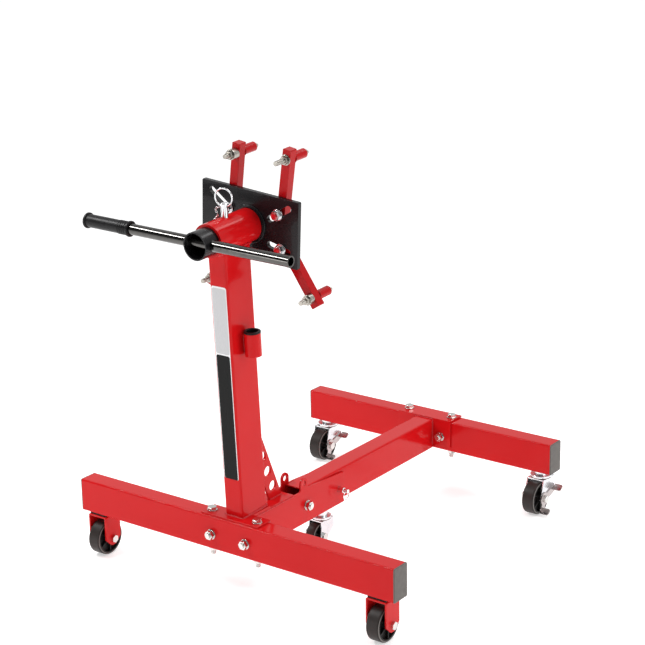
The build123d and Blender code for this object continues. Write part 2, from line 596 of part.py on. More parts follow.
def fold_ring():
    """The wire ring hanging from the fold pin's eye."""
    hang = fold_eye() * Pos(0, 0, -FOLD_RING_R) * Rotation(0, 90, 0) * Torus(FOLD_RING_R, FOLD_WIRE_R)
    return at(0, FOLD_PIN_Y, FOLD_PIN_Z) * hang


# ---- the nodes ----------------------------------------------------------------------------------
def write_stand():
    write("front_crossbeam", crossbeam(FRONT_LENGTH, 0, LEVEL_BOLT_X, UPRIGHT_BOLT_X))
    write("front_beam_caps", *[beam_cap(side, FRONT_LENGTH, 0) for side in (-1, 1)])
    write("base_bracket", base_bracket())
    write("base_channel", channel())
    write("channel_cover", channel_cover())
    write("post", post())
    write("brace", brace())
    write("head_tube", head_tube())
    write("handle_holder", handle_holder())
    write("holder_liner", holder_liner())
    write("post_label", post_label())
    bolts, nuts = bracket_bolts(0, CHANNEL_START, CHANNEL_START)
    write("front_bolts", *bolts)
    write("front_nuts", *nuts)
    pivot = at(0, PIVOT_Y, PIVOT_Z) * Rotation(0, 0, -90)
    reach = CHANNEL_W / 2 + WASHER_T
    shank = rod(BOLT_R, -reach - 0.5, reach + NUT_T + 3) + hexagon(HEAD_AF, -reach - HEAD_T, -reach)
    pivot_pieces = (shank, washer(-reach), washer(reach - WASHER_T), nut(reach))
    write("pivot_bolt", *[pivot * piece for piece in pivot_pieces])
    write("fork_spacers", *[fork_spacer(side) for side in (-1, 1)])
    for name, side in (("left", -1), ("right", 1)):
        write(f"rigid_fork_{name}", rigid_fork(side))
        write(f"front_wheel_{name}", wheel(WHEEL_R, WHEEL_W, front_axle_place(side)))
    axles = [axle(FORK_IN + 2 * FORK_T, 0, front_axle_place(side)) for side in (-1, 1)]
    write("front_axles", *[piece for pair in axles for piece in pair])
    middle = stem(CHANNEL_BOTTOM, MIDDLE_CUP_TOP, MIDDLE_CUP_R)
    middle += rod(RIVET_R, CHANNEL_BOTTOM - 1, RIVET_TOP, "Z")
    middle += rod(RIVET_HEAD_R, CHANNEL_BOTTOM + PLATE, RIVET_TOP, "Z")
    write("middle_stem", at(0, MIDDLE_Y, 0) * middle)


def front_axle_place(side):
    return at(side * FRONT_WHEEL_X, FRONT_WHEEL_Y, WHEEL_R)


def write_rear_frame():
    write("centre_beam", centre_beam())
    write("rear_bracket", rear_bracket())
    write("rear_crossbeam", crossbeam(REAR_LENGTH, REAR_SETBACK, LEVEL_BOLT_X, UPRIGHT_BOLT_X))
    write("rear_beam_caps", *[beam_cap(side, REAR_LENGTH, REAR_SETBACK) for side in (-1, 1)])
    bolts, nuts = bracket_bolts(REAR_SETBACK, REAR_SETBACK + BEAM_W, BEAM_W + PLATE)
    write("rear_bolts", *bolts)
    write("rear_nuts", *nuts)
    stems = [rear_swivel(side) * stem(FLOOR_TO_BEAM, REAR_CUP_TOP, REAR_CUP_R) for side in (-1, 1)]
    write("rear_stems", *stems)


def write_swivels():
    fork_width = WHEEL_W + 2 * WHEEL_GAP + 2 * SWIVEL_T
    for name, side in (("left", -1), ("right", 1)):
        place = rear_axle_place(side)
        fork = swivel_fork(REAR_CUP_TOP, WHEEL_R, WHEEL_W, SWIVEL_TRAIL, REAR_CUP_R)
        write(f"swivel_fork_{name}", rear_swivel(side) * fork)
        write(f"rear_wheel_{name}", wheel(WHEEL_R, WHEEL_W, place))
        write(f"rear_axle_{name}", *axle(fork_width, LEVER_T + 2 * LEVER_GAP, place))
        write(f"brake_lever_{name}", brake_lever(side))
    middle = at(0, MIDDLE_Y, 0)
    fork = swivel_fork(MIDDLE_CUP_TOP, MIDDLE_WHEEL_R, MIDDLE_WHEEL_W, MIDDLE_TRAIL, MIDDLE_CUP_R)
    write("middle_fork", middle * fork)
    place = middle * Pos(0, -MIDDLE_TRAIL, MIDDLE_WHEEL_R)
    write("middle_wheel", wheel(MIDDLE_WHEEL_R, MIDDLE_WHEEL_W, place))
    write("middle_axle", *axle(MIDDLE_WHEEL_W + 2 * WHEEL_GAP + 2 * SWIVEL_T, 0, place))


def write_head():
    write("shaft", shaft())
    write("shaft_collar", collar())
    write("faceplate", faceplate())
    write("lock_pin", lock_pin())
    write("lock_ring", lock_ring())
    write("handle_bar", handle_bar())
    write("handle_grip", handle_grip())
    write("fold_pin", fold_pin())
    write("fold_ring", fold_ring())
    for name, (side, slot, fraction, heading, washers) in ARMS.items():
        spot = bolt_spot(side, slot, fraction)
        place = arm_place(spot, heading)
        write(f"clamp_bolt_{name}", *clamp_bolt(spot))
        write(f"arm_{name}", place * arm())
        write(f"mount_bolt_{name}", *[place * piece for piece in mount_bolt(washers)])


write_stand()
write_rear_frame()
write_swivels()
write_head()
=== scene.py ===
"""Looks for the folding engine stand: materials, fine detail, floor, lights and camera.

Metres, +Z up, +Y from the handle side to the engine side. Places come from the CAD frame's boxes,
joints and mounts, and from the few sizes of the stand that are named below.
"""

import json
from math import cos, pi, radians, sin, sqrt

import bpy
from mathutils import Matrix, Vector


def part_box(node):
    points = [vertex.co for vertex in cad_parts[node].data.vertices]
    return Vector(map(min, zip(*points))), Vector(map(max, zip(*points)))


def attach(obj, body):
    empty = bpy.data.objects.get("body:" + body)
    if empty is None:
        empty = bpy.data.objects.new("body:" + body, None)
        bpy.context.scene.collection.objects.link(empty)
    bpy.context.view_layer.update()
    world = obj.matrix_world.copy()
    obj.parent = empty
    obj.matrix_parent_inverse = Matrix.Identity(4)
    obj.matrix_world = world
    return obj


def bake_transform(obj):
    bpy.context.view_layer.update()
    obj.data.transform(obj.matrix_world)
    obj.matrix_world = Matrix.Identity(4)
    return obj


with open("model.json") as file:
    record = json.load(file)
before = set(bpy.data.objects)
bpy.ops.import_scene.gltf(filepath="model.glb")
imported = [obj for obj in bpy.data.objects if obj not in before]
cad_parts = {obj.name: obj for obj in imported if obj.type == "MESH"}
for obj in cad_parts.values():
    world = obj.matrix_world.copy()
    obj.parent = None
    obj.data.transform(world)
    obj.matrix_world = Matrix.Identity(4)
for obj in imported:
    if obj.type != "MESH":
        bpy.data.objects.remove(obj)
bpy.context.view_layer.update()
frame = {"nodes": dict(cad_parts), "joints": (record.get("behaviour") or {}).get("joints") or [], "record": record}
NODES = frame["nodes"]
JOINTS = {joint["name"]: joint for joint in frame["joints"]}
MOUNTS = {mount["name"]: mount for mount in frame["record"]["mounts"]}
ARMS = ("upper_left", "upper_right", "lower_left", "lower_right")
WHEELS = ("front_wheel_left", "front_wheel_right", "rear_wheel_left", "rear_wheel_right", "middle_wheel")
X, Y, Z = Vector((1, 0, 0)), Vector((0, 1, 0)), Vector((0, 0, 1))


def joint_point(name):
    return Vector(JOINTS[name]["pos_m"])


def joint_axis(name):
    return Vector(JOINTS[name]["axis"])


HEAD = joint_point("head_turn")
HEAD_AXIS = joint_axis("head_turn")
POST_UP = Vector((0, -HEAD_AXIS.z, HEAD_AXIS.y))
POST_LENGTH = 0.662             # base plate to the head tube's middle, along the post
POST_FOOT = HEAD - POST_UP * POST_LENGTH
POST_HALF_X, POST_HALF_Y = 0.025, 0.044
HEAD_TUBE_R = 0.0385            # where the bead runs, just outside the tube's skin
FACE_FRONT = 0.0738             # where the collar's bead runs, just in front of the faceplate
COLLAR_BEAD_R = 0.0425
HOLDER_LOW, HOLDER_HIGH = 0.387, 0.433      # ends of the handle holder's weld strip, up the post
HOLDER_Y, HOLDER_STRIP = 0.004, 0.0045      # the strip's middle and half thickness
CLAMP_END = 0.0585              # where the clamp bolts' bare ends start, along the head's axis
BOLT_R, STUD_R, CLAMP_NUT_BORE = 0.006, 0.005, 0.0061
NUT_AT_LEAST = 0.008            # anything on an engine bolt this far out is its nut or a washer
STUD_PITCH = 0.0015
STUD_TIP = 0.0012               # bare front tip of an engine bolt
STUD_ENTRY = 0.0048             # half the length of its thread in the engine
NUT_GAP, TIP_GAP = 0.0002, 0.0006           # a frame bolt's thread starts past its nut, stops before its tip
PIVOT_TIP, PIVOT_THREAD = 0.0028, 0.0024    # the pivot bolt's bare end and its thread
THREAD_RISE = 0.00008           # how far a thread's root stands off the shank
LEVEL_BOLT_X, UPRIGHT_BOLT_X, LEVEL_BOLT_RISE = 0.049, 0.065, 0.037
CORNER_GAP = 0.012              # beads stop this far above a channel's or beam's underside
CAMERA_PLACE = Vector((2.4466, -3.3455, 1.8536))
LAMP_AIM = Vector((0, 0, 0.45))


# ---- camera -------------------------------------------------------------------------------------
def make_camera():
    azimuth, elevation, roll = radians(36.596), radians(16.993), radians(-0.980)
    back = Vector((sin(azimuth) * cos(elevation), -cos(azimuth) * cos(elevation), sin(elevation)))
    level = Vector((cos(azimuth), sin(azimuth), 0))
    up = back.cross(level)
    right = level * cos(roll) + up * sin(roll)
    up = up * cos(roll) - level * sin(roll)
    data = bpy.data.cameras.new("camera")
    data.lens = 102.53
    data.sensor_width = 36
    data.shift_x = 0.0095
    data.shift_y = -0.0207
    data.clip_end = 50
    camera = bpy.data.objects.new("camera", data)
    turn = Matrix((right, up, back)).transposed().to_4x4()
    camera.matrix_world = Matrix.Translation(CAMERA_PLACE) @ turn
    bpy.context.scene.collection.objects.link(camera)
    bpy.context.scene.camera = camera


# ---- materials ----------------------------------------------------------------------------------
class Recipe:
    """The few node recipes that the materials and the studio share."""

    def __init__(self, tree, coordinates):
        self.tree = tree
        self.place = tree.nodes.new("ShaderNodeTexCoord").outputs[coordinates]

    def feed(self, node, socket, value):
        if isinstance(value, bpy.types.NodeSocket):
            self.tree.links.new(value, node.inputs[socket])
        else:
            node.inputs[socket].default_value = value

    def noise(self, scale, detail=3.0, stretch=(1, 1, 1)):
        """Noise over the object's own space, scale in cycles a metre."""
        mapping = self.tree.nodes.new("ShaderNodeMapping")
        mapping.inputs["Scale"].default_value = stretch
        self.tree.links.new(self.place, mapping.inputs["Vector"])
        texture = self.tree.nodes.new("ShaderNodeTexNoise")
        texture.inputs["Scale"].default_value = scale
        texture.inputs["Detail"].default_value = detail
        self.tree.links.new(mapping.outputs[0], texture.inputs["Vector"])
        return texture.outputs[0]

    def ramp(self, value, stops):
        """A colour ramp; each stop is (position, colour or grey)."""
        node = self.tree.nodes.new("ShaderNodeValToRGB")
        while len(node.color_ramp.elements) < len(stops):
            node.color_ramp.elements.new(0.5)
        for element, (position, colour) in zip(node.color_ramp.elements, stops):
            element.position = position
            grey = isinstance(colour, (int, float))
            element.color = (colour, colour, colour, 1) if grey else (*colour, 1)
        self.feed(node, 0, value)
        return node.outputs[0]

    def math(self, operation, first, second=0.5):
        node = self.tree.nodes.new("ShaderNodeMath")
        node.operation = operation
        self.feed(node, 0, first)
        self.feed(node, 1, second)
        return node.outputs[0]

    def mix_multiply(self, first, second):
        node = self.tree.nodes.new("ShaderNodeMix")
        node.data_type = "RGBA"
        node.blend_type = "MULTIPLY"
        self.feed(node, 0, 1.0)
        self.feed(node, 6, first)
        self.feed(node, 7, second)
        return node.outputs[2]

    def mix(self, factor, first, second):
        node = self.tree.nodes.new("ShaderNodeMix")
        node.data_type = "RGBA"
        self.feed(node, 0, factor)
        self.feed(node, 6, first if isinstance(first, bpy.types.NodeSocket) else (*first, 1))
        self.feed(node, 7, second if isinstance(second, bpy.types.NodeSocket) else (*second, 1))
        return node.outputs[2]

    def along(self, origin, axis):
        """How far a point lies from origin along axis, in metres."""
        shifted = self.vector("SUBTRACT", self.place, origin)
        return self.vector("DOT_PRODUCT", shifted, axis)

    def vector(self, operation, first, second):
        node = self.tree.nodes.new("ShaderNodeVectorMath")
        node.operation = operation
        self.feed(node, 0, first)
        self.feed(node, 1, second)
        return node.outputs["Value"] if operation in ("DOT_PRODUCT", "LENGTH") else node.outputs[0]

    def radius_about(self, centre, axis):
        """Distance from an axle line, in metres."""
        shifted = self.vector("SUBTRACT", self.place, centre)
        across = self.vector("CROSS_PRODUCT", shifted, axis)
        return self.vector("LENGTH", across, (0, 0, 0))


class Paint(Recipe):
    """A Principled material worked out from the object's own space."""

    def __init__(self, name, **sockets):
        self.material = bpy.data.materials.new(name)
        self.material.use_nodes = True
        tree = self.material.node_tree
        tree.nodes.clear()
        super().__init__(tree, "Object")
        self.surface = tree.nodes.new("ShaderNodeBsdfPrincipled")
        output = tree.nodes.new("ShaderNodeOutputMaterial")
        tree.links.new(self.surface.outputs[0], output.inputs["Surface"])
        for socket, value in sockets.items():
            self.surface.inputs[socket.replace("_", " ")].default_value = value

    def bevel_normal(self, radius):
        """A softened normal, which gives sheet edges a rounded highlight, and which edge() uses to find the edges
        that are painted lighter.
        """
        node = self.tree.nodes.new("ShaderNodeBevel")
        node.samples = 4
        node.inputs["Radius"].default_value = radius
        return node.outputs[0]

    def edge(self, radius):
        """1 at sharp edges and 0 on flats."""
        geometry = self.tree.nodes.new("ShaderNodeNewGeometry")
        dot = self.vector("DOT_PRODUCT", self.bevel_normal(radius), geometry.outputs["Normal"])
        return self.ramp(dot, ((0.80, 1.0), (0.995, 0.0)))

    def bump(self, height, strength, depth, normal=None):
        node = self.tree.nodes.new("ShaderNodeBump")
        node.inputs["Strength"].default_value = strength
        node.inputs["Distance"].default_value = depth
        self.tree.links.new(height, node.inputs["Height"])
        if normal is not None:
            self.tree.links.new(normal, node.inputs["Normal"])
        self.tree.links.new(node.outputs[0], self.surface.inputs["Normal"])

    def set(self, socket, value):
        self.feed(self.surface, socket, value)


def red_enamel(name, deep, light):
    """Gloss enamel with a faint orange peel, thin dust, and edges painted lighter: partly a painted highlight
    along the rounded corners, partly where the paint has pulled thin.
    """
    paint = Paint(name, IOR=1.21, Coat_Weight=0.3, Coat_IOR=1.25, Coat_Roughness=0.02)
    colour = paint.ramp(paint.noise(7.0, 2), ((0.0, deep), (1.0, light)))
    dust = paint.ramp(paint.noise(900, 5), ((0.62, 0.0), (0.80, 0.06)))
    colour = paint.mix(dust, colour, (0.75, 0.30, 0.27))
    thin = paint.ramp(paint.noise(130, 4), ((0.30, 0.10), (0.80, 0.55)))
    # painted highlight: sharp edges are lightened towards pink, broken up by noise, partly standing in for the
    # highlight along rounded corners and partly for paint pulled thin
    edge_wear_and_highlight = paint.math("MULTIPLY", paint.edge(0.0012), thin)
    paint.set("Base Color", paint.mix(edge_wear_and_highlight, colour, (0.82, 0.16, 0.13)))
    paint.set("Roughness", paint.ramp(paint.noise(18, 5), ((0.0, 0.08), (1.0, 0.26))))
    paint.bump(paint.noise(360, 2), 0.03, 0.0004, paint.bevel_normal(0.0012))
    return paint.material


def weld_paint(name, pooled, thin):
    """Enamel over a weld's ripples, darker where it pools."""
    paint = Paint(name, IOR=1.3, Coat_Weight=0.3, Coat_IOR=1.3, Coat_Roughness=0.08)
    paint.set("Base Color", paint.ramp(paint.noise(300, 4), ((0.2, pooled), (0.8, thin))))
    paint.set("Roughness", paint.ramp(paint.noise(160, 3), ((0.2, 0.22), (0.8, 0.40))))
    paint.bump(paint.noise(900, 3), 0.2, 0.0005)
    return paint.material


def black_gloss():
    """Black gloss enamel with fine wiping marks, dust, and edges painted lighter, partly as a highlight and partly
    as paint pulled thin.
    """
    paint = Paint("black_enamel", IOR=1.27, Coat_Weight=0.3, Coat_IOR=1.3, Coat_Roughness=0.02)
    dust = paint.ramp(paint.noise(40, 6), ((0.2, (0.004, 0.004, 0.005)), (0.9, (0.012, 0.011, 0.012))))
    thin = paint.ramp(paint.noise(160, 4), ((0.3, 0.1), (0.8, 0.5)))
    # painted highlight: sharp edges are lightened towards grey, broken up by noise, partly standing in for the
    # highlight along rounded corners and partly for paint pulled thin
    edge_wear_and_highlight = paint.math("MULTIPLY", paint.edge(0.0010), thin)
    paint.set("Base Color", paint.mix(edge_wear_and_highlight, dust, (0.14, 0.14, 0.15)))
    paint.set("Roughness", paint.ramp(paint.noise(30, 5, (1, 4, 1)), ((0.1, 0.16), (0.9, 0.34))))
    paint.bump(paint.noise(420, 2), 0.035, 0.0004, paint.bevel_normal(0.0010))
    return paint.material


def bright_metal(name, tint, shade, low, high, brush=(1, 1, 1)):
    """Plated or polished metal: cloudy tint, uneven polish and fine brushing."""
    paint = Paint(name, Metallic=1.0)
    paint.set("Base Color", paint.ramp(paint.noise(60, 5), ((0.1, shade), (0.9, tint))))
    paint.set("Roughness", paint.ramp(paint.noise(240, 4, brush), ((0.1, low), (0.9, high))))
    paint.bump(paint.noise(1400, 2, brush), 0.06, 0.0003, paint.bevel_normal(0.0006))
    return paint.material


def clamp_finish(arm, enamel):
    """Zinc nut and washer about a bolt that was enamelled with its arm."""
    paint = Paint(f"clamp_{arm}_finish")
    swing = f"arm_swing_{arm}"
    across = paint.radius_about(joint_point(swing), joint_axis(swing))
    plated = paint.math("GREATER_THAN", across, CLAMP_NUT_BORE)
    cloud = paint.ramp(paint.noise(80, 5), ((0.1, (0.62, 0.63, 0.64)), (0.9, (0.84, 0.84, 0.85))))
    paint.set("Base Color", paint.mix(plated, enamel, cloud))
    paint.set("Metallic", plated)
    paint.set("Roughness", paint.ramp(paint.noise(260, 4), ((0.1, 0.14), (0.9, 0.32))))
    paint.bump(paint.noise(1200, 2), 0.06, 0.0003, paint.bevel_normal(0.0006))
    return paint.material


def moulded(name, dark, light, low, high, grain=1600):
    """Moulded plastic or rubber with a fine grain, scuffs and a painted highlight along its sharp edges."""
    paint = Paint(name, IOR=1.3)
    scuffs = paint.ramp(paint.noise(90, 6), ((0.2, dark), (0.9, light)))
    # painted highlight: every sharp edge is lightened towards twice the light tone
    edge_highlight = paint.math("MULTIPLY", paint.edge(0.0010), 0.35)
    paint.set("Base Color", paint.mix(edge_highlight, scuffs, tuple(2 * part for part in light)))
    paint.set("Roughness", paint.ramp(paint.noise(50, 4), ((0.1, low), (0.9, high))))
    paint.bump(paint.noise(grain, 2), 0.15, 0.0003, paint.bevel_normal(0.0010))
    return paint.material


def wheel_plastic(name, spin_joint, radius):
    """A black moulded wheel: rubbed rolling band, a painted highlight line around the rim of the dished side, dust
    in the dish.
    """
    paint = Paint(name, IOR=1.3)
    centre = joint_point(spin_joint)
    from_axle = paint.math("DIVIDE", paint.radius_about(centre, X), radius)
    # painted highlight: a pale ring near the wheel's edge stands in for light caught by the chamfer at the tread's
    # corner
    lip_highlight = paint.ramp(from_axle, ((0.885, 0.0), (0.905, 1.0), (0.945, 1.0), (0.965, 0.0)))
    rolling = paint.ramp(from_axle, ((0.96, 0.0), (0.995, 1.0)))
    dust = paint.ramp(paint.noise(70, 6), ((0.2, (0.008, 0.007, 0.007)), (0.9, (0.020, 0.017, 0.016))))
    tread = paint.mix(rolling, dust, (0.030, 0.024, 0.022))
    # the pale grey here is the painted highlight's colour
    paint.set("Base Color", paint.mix(lip_highlight, tread, (0.17, 0.155, 0.145)))
    paint.set("Roughness", paint.ramp(paint.noise(35, 5), ((0.1, 0.30), (0.9, 0.55))))
    paint.bump(paint.noise(900, 3), 0.12, 0.0004, paint.bevel_normal(0.0008))
    return paint.material


def label_print():
    """A printed label with no lettering: silver above, black below, rounded outline around the black."""
    paint = Paint("label_print", IOR=1.2, Coat_Weight=0.2, Coat_IOR=1.25, Coat_Roughness=0.06)
    low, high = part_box("post_label")
    half_x = (high.x - low.x) / 2
    half_z = (high.z - low.z) / POST_UP.z / 2
    middle = POST_FOOT + POST_UP * ((low.z - POST_FOOT.z) / POST_UP.z + half_z)
    across = paint.along(tuple(middle), (1, 0, 0))
    height = paint.along(tuple(middle), tuple(POST_UP))
    split = half_z * 0.32
    rim, corner = 0.0016, 0.0050

    def inside(bottom, top, inset):
        """1 inside a panel with rounded corners, 0 outside it."""
        reach_x = half_x - inset - corner
        reach_z = (top - bottom) / 2 - inset - corner
        centred = paint.math("SUBTRACT", height, (top + bottom) / 2)
        out_x = paint.math("SUBTRACT", paint.math("ABSOLUTE", across), reach_x)
        out_z = paint.math("SUBTRACT", paint.math("ABSOLUTE", centred), reach_z)
        out_x = paint.math("POWER", paint.math("MAXIMUM", out_x, 0.0), 2.0)
        out_z = paint.math("POWER", paint.math("MAXIMUM", out_z, 0.0), 2.0)
        distance = paint.math("SQRT", paint.math("ADD", out_x, out_z))
        return paint.math("LESS_THAN", distance, corner)

    silver = ((0.1, (0.50, 0.50, 0.51)), (0.9, (0.66, 0.66, 0.67)))
    brushed = paint.ramp(paint.noise(300, 4, (6, 6, 0.3)), silver)
    field = paint.mix(inside(-half_z, split, rim), (0.85, 0.85, 0.86), (0.004, 0.004, 0.004))
    field = paint.mix(inside(split, half_z, rim), field, brushed)
    paint.set("Base Color", field)
    paint.set("Roughness", paint.ramp(paint.noise(60, 4, (4, 4, 0.2)), ((0.1, 0.22), (0.9, 0.38))))
    paint.bump(paint.noise(700, 2, (1, 1, 0.1)), 0.04, 0.0002)
    return paint.material


def assign(material, *nodes):
    """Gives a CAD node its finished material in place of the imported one."""
    for name in nodes:
        for slot in NODES[name].material_slots:
            slot.material = material


def paint_nodes():
    red = red_enamel("red_enamel", (0.56, 0.004, 0.006), (0.64, 0.008, 0.010))
    assign(red, "front_crossbeam", "base_bracket", "base_channel", "channel_cover", "post", "brace")
    assign(red, "head_tube", "handle_holder", "rigid_fork_left", "rigid_fork_right", "centre_beam")
    assign(red, "rear_bracket", "rear_crossbeam")
    # painted shade: the arms get a darker copy of the red enamel, standing in for the shade cast by the engine
    # block behind them
    arm_red_shaded = red_enamel("arm_enamel_shaded", (0.40, 0.002, 0.004), (0.48, 0.004, 0.007))
    assign(arm_red_shaded, *[f"arm_{arm}" for arm in ARMS])
    black = black_gloss()
    assign(black, "shaft", "shaft_collar", "faceplate")
    assign(bright_metal("dark_chrome", (0.13, 0.125, 0.12), (0.08, 0.078, 0.075), 0.05, 0.12), "handle_bar")
    caps = moulded("cap_plastic", (0.105, 0.095, 0.088), (0.155, 0.142, 0.130), 0.38, 0.55)
    assign(caps, "front_beam_caps", "rear_beam_caps")
    # painted shadow: the spacers between the front beam and the rigid forks are near-black to stand in for the
    # shadow in the gap there
    assign(moulded("spacer_shadow_black", (0.012, 0.010, 0.010), (0.022, 0.019, 0.018), 0.5, 0.7), "fork_spacers")
    rubber = moulded("grip_rubber", (0.006, 0.006, 0.007), (0.014, 0.013, 0.013), 0.28, 0.46)
    assign(rubber, "handle_grip", "holder_liner")
    zinc = bright_metal("zinc_plate", (0.86, 0.87, 0.89), (0.66, 0.68, 0.71), 0.12, 0.30)
    assign(zinc, "middle_stem", "rear_stems", "swivel_fork_left", "swivel_fork_right", "middle_fork")
    lever = bright_metal("lever_plate", (0.60, 0.55, 0.54), (0.40, 0.35, 0.35), 0.14, 0.30)
    assign(lever, "brake_lever_left", "brake_lever_right")
    bolts = bright_metal("bolt_plate", (0.80, 0.80, 0.78), (0.58, 0.57, 0.55), 0.08, 0.22)
    assign(bolts, "front_bolts", "front_nuts", "pivot_bolt", "front_axles", "rear_bolts", "rear_nuts")
    assign(bolts, "rear_axle_left", "rear_axle_right", "middle_axle")
    studs = bright_metal("stud_plate", (0.54, 0.51, 0.46), (0.28, 0.26, 0.23), 0.12, 0.32)
    assign(studs, *[f"mount_bolt_{arm}" for arm in ARMS])
    for arm in ARMS:
        assign(clamp_finish(arm, (0.60, 0.008, 0.014)), f"clamp_bolt_{arm}")
    chrome = bright_metal("pin_chrome", (0.90, 0.90, 0.91), (0.76, 0.76, 0.78), 0.05, 0.14)
    assign(chrome, "lock_pin", "lock_ring", "fold_pin", "fold_ring")
    for node in WHEELS:
        low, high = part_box(node)
        assign(wheel_plastic(f"{node}_plastic", f"{node}_spin", (high.z - low.z) / 2), node)
    assign(label_print(), "post_label")
    return {
        "red_weld": weld_paint("red_weld", (0.44, 0.005, 0.009), (0.62, 0.012, 0.018)),
        "black_weld": weld_paint("black_weld", (0.006, 0.006, 0.007), (0.018, 0.017, 0.018)),
        "race": bright_metal("race_steel", (0.34, 0.24, 0.20), (0.18, 0.12, 0.10), 0.2, 0.4),
        "bolt": bolts,
        "stud": studs,
        "chrome": chrome,
        "zinc": zinc,
    }


# ---- floor and lights ---------------------------------------------------------------------------
def make_stage():
    """A wide white floor under a studio that is bright overhead and dark behind the camera."""
    bpy.ops.mesh.primitive_plane_add(size=70, location=(0, 0, 0))
    floor = bpy.context.object
    floor.name = "floor"
    paint = Paint("floor_paint", Roughness=0.9, Specular_IOR_Level=0.1, Emission_Strength=0.5)
    paint.surface.inputs["Emission Color"].default_value = (1, 1, 1, 1)
    grain = paint.ramp(paint.noise(60.0, 2), ((0.0, (0.88, 0.88, 0.88)), (1.0, (0.90, 0.90, 0.90))))
    paint.set("Base Color", grain)
    floor.data.materials.append(paint.material)
    world = bpy.data.worlds.new("studio")
    world.use_nodes = True
    sky = Recipe(world.node_tree, "Generated")
    height = sky.vector("DOT_PRODUCT", sky.place, (0, 0, 1))
    ahead = sky.vector("DOT_PRODUCT", sky.place, (0.25, 0.97, 0))
    dome = sky.ramp(height, ((0.0, 0.60), (0.35, 0.70), (0.75, 1.0)))
    facing = sky.ramp(sky.math("ADD", sky.math("MULTIPLY", ahead, 0.5), 0.5), ((0.15, 0.16), (0.75, 1.0)))
    background = world.node_tree.nodes["Background"]
    sky.feed(background, "Color", sky.mix_multiply(dome, facing))
    background.inputs["Strength"].default_value = 1.0
    bpy.context.scene.world = world
    lamp("strip", (-1.6, -1.3, 2.5), (1.7, 0.24), 44)
    lamp("top", (0.6, 0.8, 2.8), (1.2, 1.2), 18)
    lamp("side", (3.2, 0.2, 1.3), (1.3, 1.3), 20)
    lamp("front", (-1.2, -3.4, 0.7), (1.6, 0.8), 14)
    bpy.context.scene.view_settings.view_transform = "Standard"


def lamp(name, place, sizes, power):
    """A rectangular area light that faces the middle of the stand."""
    data = bpy.data.lights.new(name, "AREA")
    data.shape = "RECTANGLE"
    data.size, data.size_y = sizes
    data.energy = power
    light = bpy.data.objects.new(name, data)
    light.location = place
    aim = Vector(place) - LAMP_AIM
    light.rotation_euler = aim.to_track_quat("Z", "Y").to_euler()
    bpy.context.scene.collection.objects.link(light)


# ---- fine detail --------------------------------------------------------------------------------
def piece(name, points, faces, finish, body):
    """A new mesh that rides on a body, or on none yet."""
    mesh = bpy.data.meshes.new(name)
    mesh.from_pydata([tuple(point) for point in points], [], faces)
    mesh.materials.append(finish)
    mesh.shade_smooth()
    solid = bpy.data.objects.new(name, mesh)
    bpy.context.scene.collection.objects.link(solid)
    if body:
        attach(solid, body)
    return solid


def skin(rings, sides, closed):
    """Quads between neighbouring rings of points, with end caps where the run isn't closed."""
    faces = []
    for ring in range(rings if closed else rings - 1):
        here, there = ring * sides, (ring + 1) % rings * sides
        for side in range(sides):
            follow = (side + 1) % sides
            faces.append((here + side, here + follow, there + follow, there + side))
    if not closed:
        faces.append(tuple(reversed(range(sides))))
        faces.append(tuple(range((rings - 1) * sides, rings * sides)))
    return faces


def square_to(axis):
    side = axis.orthogonal().normalized()
    return side, axis.cross(side).normalized()


def thread(name, start, axis, radius, length, finish, body, pitch=0.00175, depth=0.00055):
    """A screw thread that stands a little proud of a plain shank and fades out at both ends."""
    sides, per_turn = 24, 6
    rings = max(8, int(length / pitch * per_turn))
    across, up = square_to(axis)
    points = []
    for ring in range(rings + 1):
        travel = length * ring / rings
        fade = min(1.0, travel / pitch, (length - travel) / pitch)
        for side in range(sides):
            angle = 2 * pi * side / sides
            crest = 1 - abs((travel / pitch - side / sides) % 1 * 2 - 1)
            reach = radius + THREAD_RISE + depth * crest * fade
            points.append(start + axis * travel + (across * cos(angle) + up * sin(angle)) * reach)
    return piece(name, points, skin(rings + 1, sides, False), finish, body)


def resample(path, step, closed):
    """Points a step apart along straight runs between the given points."""
    out = []
    runs = list(zip(path, path[1:] + path[:1])) if closed else list(zip(path, path[1:]))
    for start, end in runs:
        count = max(1, round((end - start).length / step))
        out += [start.lerp(end, part / count) for part in range(count)]
    return out if closed else out + [path[-1]]


def weld(name, path, radius, finish, body, closed=False):
    """A weld bead: a half-sunk tube along a line, with overlapping ripples."""
    sides, step, ripple = 8, 0.0009, 0.0030
    line = resample(path, step, closed)
    points = []
    for index, spot in enumerate(line):
        before = line[index - 1] if index or closed else spot
        after = line[(index + 1) % len(line)] if index + 1 < len(line) or closed else spot
        across, up = square_to((after - before).normalized())
        phase = index * step / ripple % 1
        sway = 0.05 * sin(index * 0.37) + 0.04 * sin(index * 0.151 + 1)
        reach = radius * (0.90 + 0.16 * sqrt(1 - phase) + sway)
        for side in range(sides):
            angle = 2 * pi * side / sides
            points.append(spot + (across * cos(angle) + up * sin(angle)) * reach)
    return piece(name, points, skin(len(line), sides, closed), finish, body)


def on_post(x, y, z):
    """A place given from the post's foot, along and across its leaning axis."""
    return POST_FOOT + X * x + HEAD_AXIS * y + POST_UP * z


def on_head(x, y, z):
    """A place given from the middle of the head tube."""
    return HEAD + X * x + HEAD_AXIS * y + POST_UP * z


def plane_edge(node, origin, normal, reach=0.0004):
    """The two farthest apart vertices of a node that lie on a plane, on its +X side."""
    spots = [v.co for v in NODES[node].data.vertices if abs((v.co - origin).dot(normal)) < reach]
    spots = [spot for spot in spots if spot.x > 0]
    first = max(spots, key=lambda spot: (spot - spots[0]).length)
    return first, max(spots, key=lambda spot: (spot - first).length)


def both_sides(line):
    """A line and its mirror image across the middle of the stand."""
    return line, [Vector((-spot.x, spot.y, spot.z)) for spot in line]


